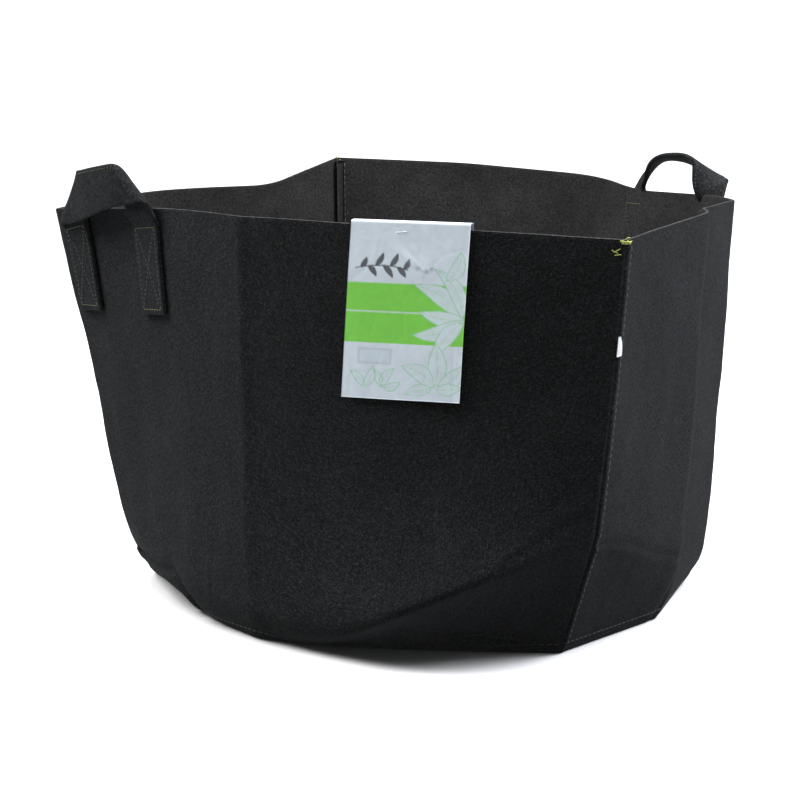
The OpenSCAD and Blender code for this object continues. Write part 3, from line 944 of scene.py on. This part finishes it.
def handle(name, ends, cloth, lay, lift, edge_rows, edge_thread):
    """A strap with its box-and-cross stitching at both ends and its rows of edge stitches."""
    nodes = [f"{name}_{part}" for part in (ends[0] + "_tab", ends[1] + "_tab", "loop")]
    patch, half_span = strap_patch(*nodes[:2], name + "_swing")
    local = lay(strap_wall(patch, cloth, half_span), half_span)
    outer, inner, normal, far, bend = strap_piece(name + "_strap", patch, local, nodes, lift)
    total = far[-1]
    low, high, side = 6 * MM, TAB_LEN - 24 * MM, EDGE_ROW
    # The rows of a sewn end: the ends of its box, its sides and its cross
    thick, fine = (1, 0.36 * MM), (0, 0.27 * MM)
    rows = [
        ((low, -side), (low, side), thick), ((high, -side), (high, side), thick),
        ((low, -side), (high, -side), fine), ((low, side), (high, side), fine),
        ((low, -side), (high, side), fine), ((low, side), (high, -side), fine)]
    t = np.linspace(0, 1, 60)
    for far_end, end in enumerate(ends):
        shape = Shape()
        for (f0, x0), (f1, x1), (slot, radius) in rows:
            f = f0 + (f1 - f0) * t
            f = total - f if far_end else f
            for surface, sign, sunk in ((outer, 1, 0), (inner, -1, FELT_T + 0.5 * MM)):
                points, normals = strap_line(surface, normal, far, f, x0 + (x1 - x0) * t)
                add_stitch_row(shape, points - normals * sunk, normals * sign, 5 * MM, 0.6, radius, slot)
        thread = shape.piece(f"{name}_{end}_stitches", [SEAM_THREAD, LIME_THREAD])
        ride_as(thread, "root", f"{name}_{end}_stitching")
    shape = Shape()
    f = np.linspace(TAB_LEN + 12 * MM, total - TAB_LEN - 12 * MM, 120)
    for x in edge_rows:
        for surface, sign in ((outer, 1), (inner, -1)):
            points, normals = strap_line(surface, normal, far, f, x)
            out = normals * sign
            add_stitch_row(shape, points - out * 0.1 * MM, out, 4.6 * MM, 0.5, 0.24 * MM)
    edge = shape.piece(name + "_edge_stitches", [edge_thread])
    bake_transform(edge)


BY_EDGE = EDGE_ROW + 0.07
handle("left_handle", ("front", "rear"), front_cloth, folded_strap, (0, 0.85, 0.5), (BY_EDGE,), LIME_THREAD)
handle("right_handle", ("rear", "front"), rear_cloth, arched_strap, (0, 0.3, 0.95), (-BY_EDGE, BY_EDGE),
       SEAM_THREAD)


# ---- the label's print, in millimetres from the card's left edge and down from its fold

GREEN = (0.27, 0.78, 0.07)
PALE_GREEN = (0.85, 0.97, 0.8)
LINE_GREEN = (0.42, 0.78, 0.45)
LEAF_WHITE = (0.97, 1.0, 0.97)
DARK_INK = (0.035, 0.035, 0.04)
BOX_LINE = (0.55, 0.56, 0.62)
BOX_FILL = (0.93, 0.95, 0.97)
# Leaves: base, length, width, angle in radians and how far each is curved for its length
SPRAY = [
    ((127, 98), 62, 19, 2.60, 0.10), ((130, 100), 50, 15, 3.02, -0.06), ((130, 101), 58, 17, 3.45, -0.10),
    ((128, 99), 60, 16, 2.15, 0.14), ((108, 60), 34, 15, 1.15, 0.16), ((129, 103), 48, 17, 4.05, 0.08),
    ((103, 172), 46, 20, 1.62, 0.04), ((101, 173), 42, 17, 2.62, 0.12), ((106, 172), 34, 17, 0.75, 0.12),
    ((104, 175), 27, 13, 0.12, 0.05), ((99, 175), 30, 12, 3.35, 0.05),
]
TUFTS = [
    ((24, 175), 22, 8, 2.35, 0.10), ((26, 175), 24, 10, 1.25, 0.08), ((44, 175), 24, 9, 1.0, -0.12),
    ((43, 175), 20, 8, 2.0, 0.08), ((46, 176), 20, 8, 0.35, 0.1),
]
STEM = [(8, 50), (22, 47.5), (38, 46.5), (52, 47.5), (65, 50.5)]
STEM_LEAVES = [(14, 49), (22, 47.6), (30, 46.9), (38, 46.5), (46, 47), (54, 48), (61, 49.6)]


def paint(ink, mask, colour):
    mask = np.clip(mask, 0, 1)[..., None]
    return ink * (1 - mask) + np.array(colour) * mask


def inside(x, y, x0, x1, y0, y1, soft=0.5):
    """1 inside a box and 0 outside it."""
    return np.clip(np.minimum(np.minimum(x - x0, x1 - x), np.minimum(y - y0, y1 - y)) / soft + 0.5, 0, 1)


def leaf(ink, x, y, base, length, width, angle, bend, line, fill, veins=0):
    """A pointed leaf from its base, curved by bend, with an outline, a midrib and side veins."""
    dx, dy = x - base[0], y - base[1]
    p = (dx * math.cos(angle) - dy * math.sin(angle)) / length
    q = dx * math.sin(angle) + dy * math.cos(angle)
    q = q - bend * length * 4 * p * (1 - p)
    half = width / 2 * np.sin(math.pi * np.clip(p, 0, 1) ** 0.85) ** 0.9
    gap = half - np.abs(q)
    on = (p > 0) & (p < 1)
    if fill is not None:
        ink = paint(ink, np.where(on, np.clip(gap / 0.6 + 0.5, 0, 1), 0) * 0.93, fill)
    outline = np.where(on, np.clip(1.15 - np.abs(gap) / 0.7, 0, 1), 0)
    rib = np.where(on & (gap > 0), np.clip(1.0 - np.abs(q) / 0.6, 0, 1), 0) * 0.7
    ink = paint(ink, np.maximum(outline, rib), line)
    if veins:
        wave = np.abs(((p * veins + np.abs(q) / width * 1.5) % 1) - 0.5) * length / veins
        ink = paint(ink, np.where(on & (gap > 0.6), np.clip(0.9 - wave / 0.7, 0, 1), 0) * 0.35, line)
    return ink


def printed(x, y):
    """The colours of the print: two plain bands, plain leaves, a sprig and an empty box."""
    ink = paint(np.ones(x.shape + (3,)), inside(x, y, -2, 140, 65, 128.5), GREEN)
    ink = paint(ink, inside(x, y, -2, 84, 94.6, 96.0), PALE_GREEN)
    for leaves, fill, veins in ((SPRAY, LEAF_WHITE, 7), (TUFTS, None, 4)):
        for place in leaves:
            ink = leaf(ink, x, y, *place, LINE_GREEN, fill, veins)
    away, _ = to_path(x, y, STEM)
    ink = paint(ink, np.clip(1.2 - away / 0.8, 0, 1), DARK_INK)
    for n, base in enumerate(STEM_LEAVES):
        angle, bend = (-0.85, -0.08) if n % 2 else (1.05, 0.08)
        ink = leaf(ink, x, y, base, 17 - abs(n - 3) * 1.6, 5.2, angle, bend, DARK_INK, DARK_INK)
    ink = paint(ink, inside(x, y, 16, 53, 134, 151, 1.2) * 0.5, BOX_LINE)
    return paint(ink, inside(x, y, 18, 51, 136, 149, 1.2) * 0.9, BOX_FILL)


# ---- label card

# How far below the card's fold its hinged leaf starts in the CAD
LEAF_START = 11.6 * MM
# How much the card leans and skews: metres for each metre along it and down it
CARD_TURN = 0.032
CARD_SKEW = 0.030
# The middles of its two leaves, out from the wall's face
CARD_FRONT = CARD_LIFT + CARD_T / 2
CARD_BACK = -FELT_T - CARD_LIFT - CARD_T / 2
# Its creases, as places from its left edge and down from its fold, in millimetres
CARD_CREASES = [
    [(40, 12), (62, 33), (84, 50)],
    [(52, 10), (74, 30), (90, 47)],
    [(18, 20), (40, 19), (75, 47)],
]
STAPLE_R = 0.35 * MM

card_hinge, card_axis = joint("label_lift")
card_centre = box_centre("label_front_leaf")
card_side = card_axis * (1 if card_axis[0] < 0 else -1)
card_rise = card_hinge - card_centre
card_rise = card_rise - card_side * (card_rise @ card_side)
card_patch = Patch(card_centre, card_side, card_rise)
card_drop = (CARD_H + LEAF_START) / 2 - FOLD_RISE
card_patch.origin = card_centre + card_patch.up * card_drop - card_patch.out * CARD_FRONT


def label_card():
    """The card: its front leaf, its fold over the rim and the leaf inside."""
    top = FOLD_RISE - CARD_T / 2
    section = np.array([
        (CARD_FRONT, FOLD_RISE - CARD_H), (CARD_FRONT, top),
        (CARD_BACK, top), (CARD_BACK, FOLD_RISE - CARD_BACK_H)])
    far = lengths(section)
    rows = np.arange(0, far[-1], 1 * MM)
    path = rounded(section, far, [0, 2.2 * MM, 2.2 * MM, 0], rows)
    on_front = rows <= far[1]
    a, down = np.meshgrid(np.linspace(CARD_W / 2, -CARD_W / 2, 131), FOLD_RISE - path[:, 1], indexing="ij")
    across_card = CARD_W / 2 - a
    a = a + CARD_SKEW * down
    up = FOLD_RISE - down + CARD_TURN * across_card
    out = np.broadcast_to(path[:, 0], a.shape).copy()
    stretch = (FOLD_RISE - CARD_H - 8 * MM, -3 * MM)
    wall = WallUnder(card_patch, front_cloth, (-75 * MM, 85 * MM), stretch, (24, 30))
    out[:, on_front] = np.maximum(out[:, on_front], wall(a, up)[:, on_front] + 1.5 * MM)
    # The front leaf waves and creases outward, and the leaf inside a little the other way
    free = smoothstep(down, 12 * MM, 60 * MM) * np.where(on_front, 1.0, -0.3)
    out += free * (0.8 * MM * ripples(a, down, 31, 16, 0.22, 0.07) + 0.8 * MM)
    for crease in CARD_CREASES:
        away, _ = to_path(across_card, down, np.array(crease) * MM)
        out += free * 1.7 * MM * bell(away, 2.2 * MM)
    grid = card_patch.at(a, out, up)
    normal = -grid_normals(grid)
    ink = np.where(on_front[None, :, None], printed(across_card / MM, down / MM), 1.0)
    places = np.stack([across_card, np.broadcast_to(rows, a.shape)], -1)
    half = normal * CARD_T / 2
    shape = Shape()
    add_shell(shape, grid + half, grid - half, places, (0, 1, 1), ink, 0.1 * MM)
    card = shape.piece("label_card", [CARD_PRINTED, CARD_PLAIN])
    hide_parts("label_front_leaf", "label_back_leaf")
    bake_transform(card)


label_card()


def staple():
    """A bent wire through the card and the felt, with its points turned in behind."""
    face = CARD_FRONT + CARD_T / 2 + STAPLE_R
    behind = CARD_BACK - CARD_T / 2 - STAPLE_R
    crown, point = 6.05 * MM, 1.5 * MM
    corners = np.array([
        (-point, behind, 0), (-crown, behind, 0), (-crown, face, 0.6 * MM),
        (crown, face, -1.0 * MM), (crown, behind, -0.4 * MM), (point, behind, -0.4 * MM)])
    corners += [9 * MM, 0, FOLD_RISE - 8.9 * MM]
    far = lengths(corners)
    route = rounded(corners, far, [0] + [0.9 * MM] * 4 + [0], np.linspace(0, far[-1], 90))
    shape = Shape()
    add_tube(shape, card_patch.at(*route.T), STAPLE_R, 10)
    ride_as(shape.piece("staple_wire", [STEEL]), "root", "label_staple")


staple()


# ---- woven tag

TAG_W = 9 * MM
TAG_H = 21 * MM
TAG_T = 0.3 * MM
TAG_GAP = 0.5 * MM


def ribbon_tag():
    """A ribbon folded in half, its two ends caught in the front seam."""
    pivot, axis = joint("tag_turn")
    centre = box_centre("woven_tag")
    down = axis * (1 if axis[2] < 0 else -1)
    away = centre - pivot
    away = unit(away - down * (away @ down))
    out = np.cross(away, down)
    if out @ rear_cloth.normal[-1, len(ROWS) // 2] < 0:
        out = -out
    straight = TAG_W - TAG_GAP
    layers = [
        [(x, side * TAG_GAP / 2 + wave * MM * math.sin(x / TAG_W * 3)) for x in np.linspace(0, straight, 10)]
        for side, wave in ((-1, 0.25), (1, 0.35))]
    bend = [(TAG_W - TAG_GAP / 2 + TAG_GAP / 2 * math.sin(t), -TAG_GAP / 2 * math.cos(t))
            for t in np.linspace(0, math.pi, 9)]
    ends = [(-1.5 * MM, side * TAG_GAP / 2) for side in (-1, 1)]
    section = np.array([ends[0], *layers[0], *bend, *layers[1][::-1], ends[1]])
    far = lengths(section)
    share = np.linspace(-0.5, 0.5, 22)[None, :]
    x, y = section[:, 0:1], section[:, 1:2]
    # The ribbon is a little skewed, and curls away from the seam
    y = y + 0.7 * MM * np.sin(share * 3.1 + 0.6) * (x / TAG_W)
    x = x + 1.0 * MM * share * (x / TAG_W)
    drop = share * TAG_H + x * 0
    grid = centre - away * TAG_W / 2 + x[..., None] * away + y[..., None] * out + drop[..., None] * down
    half = grid_normals(grid) * TAG_T / 2
    places = np.stack(np.broadcast_arrays(far[:, None], drop), -1)
    shape = Shape()
    add_shell(shape, grid + half, grid - half, places, (0, 0, 0), edge_round=0.05 * MM)
    tag = shape.piece("ribbon_tag", [RIBBON])
    ride_as(tag, "seam_tag", "woven_tag")


ribbon_tag()


# ---- stage, light and camera

def floor():
    material, tree = new_material("stage_white")
    mottle = noise(tree, object_place(tree), 3, 2, 0.5)
    colour = mix_colour(tree, mottle, grey(0.86), grey(0.90))
    set_surface(material, {"Base Color": colour, "Roughness": 0.9, "Specular IOR Level": 0.1})
    reach = 60.0
    mesh = bpy.data.meshes.new("floor")
    corners = [(-reach, -reach, 0), (reach, -reach, 0), (reach, reach, 0), (-reach, reach, 0)]
    mesh.from_pydata(corners, [], [(0, 1, 2, 3)])
    mesh.materials.append(material)
    plane = in_scene("floor", mesh)
    plane.visible_diffuse = False


def sky(low_level, side_level, top_level, cap, back_tilt):
    """A dim room with a bright ceiling, which whitens the floor and leaves the front of the bag dark."""
    world = bpy.data.worlds.new("studio")
    bpy.context.scene.world = world
    world.use_nodes = True
    tree = world.node_tree
    direction = add_node(tree, "ShaderNodeTexCoord").outputs["Generated"]
    height = add_node(tree, "ShaderNodeSeparateXYZ", {0: direction}).outputs["Z"]
    walls = spread(tree, height, -0.15, 0.05, low_level, side_level)
    aim = (0, math.sin(math.radians(back_tilt)), math.cos(math.radians(back_tilt)))
    facing = add_node(tree, "ShaderNodeVectorMath", {0: direction, 1: aim}, operation="DOT_PRODUCT")
    ceiling = spread(tree, facing.outputs["Value"], cap - 0.15, cap + 0.15, 0, top_level - side_level)
    background = tree.nodes["Background"]
    connect(tree, background.inputs["Strength"], math_node(tree, "ADD", walls, ceiling))
    connect(tree, background.inputs["Color"], (0.97, 0.985, 1.0, 1))


def softbox(name, place, power, colour=(1, 1, 1)):
    """A square lamp aimed at the middle of the bag."""
    data = bpy.data.lights.new(name, "AREA")
    data.size = 1.2
    data.energy = power
    data.color = colour
    lamp = in_scene(name, data)
    lamp.location = place
    lamp.rotation_euler = (Vector((0, 0, 0.25)) - Vector(place)).to_track_quat("-Z", "Y").to_euler()


def camera():
    data = bpy.data.cameras.new("camera")
    data.sensor_width = 36.0
    data.lens = 115.83
    data.clip_end = 200.0
    seen_from = in_scene("camera", data)
    seen_from.location = (0, -3.0, 0.773)
    seen_from.rotation_euler = (math.radians(90 - 10.39), 0, 0)
    bpy.context.scene.camera = seen_from


floor()
sky(low_level=0.36, side_level=0.10, top_level=4.0, cap=0.75, back_tilt=8)
softbox("left_softbox", (-1.9, -0.2, 1.9), 64)
softbox("right_softbox", (1.9, -0.3, 2.1), 96, (0.92, 0.94, 1.0))
camera()
bpy.context.scene.view_settings.view_transform = "Standard"
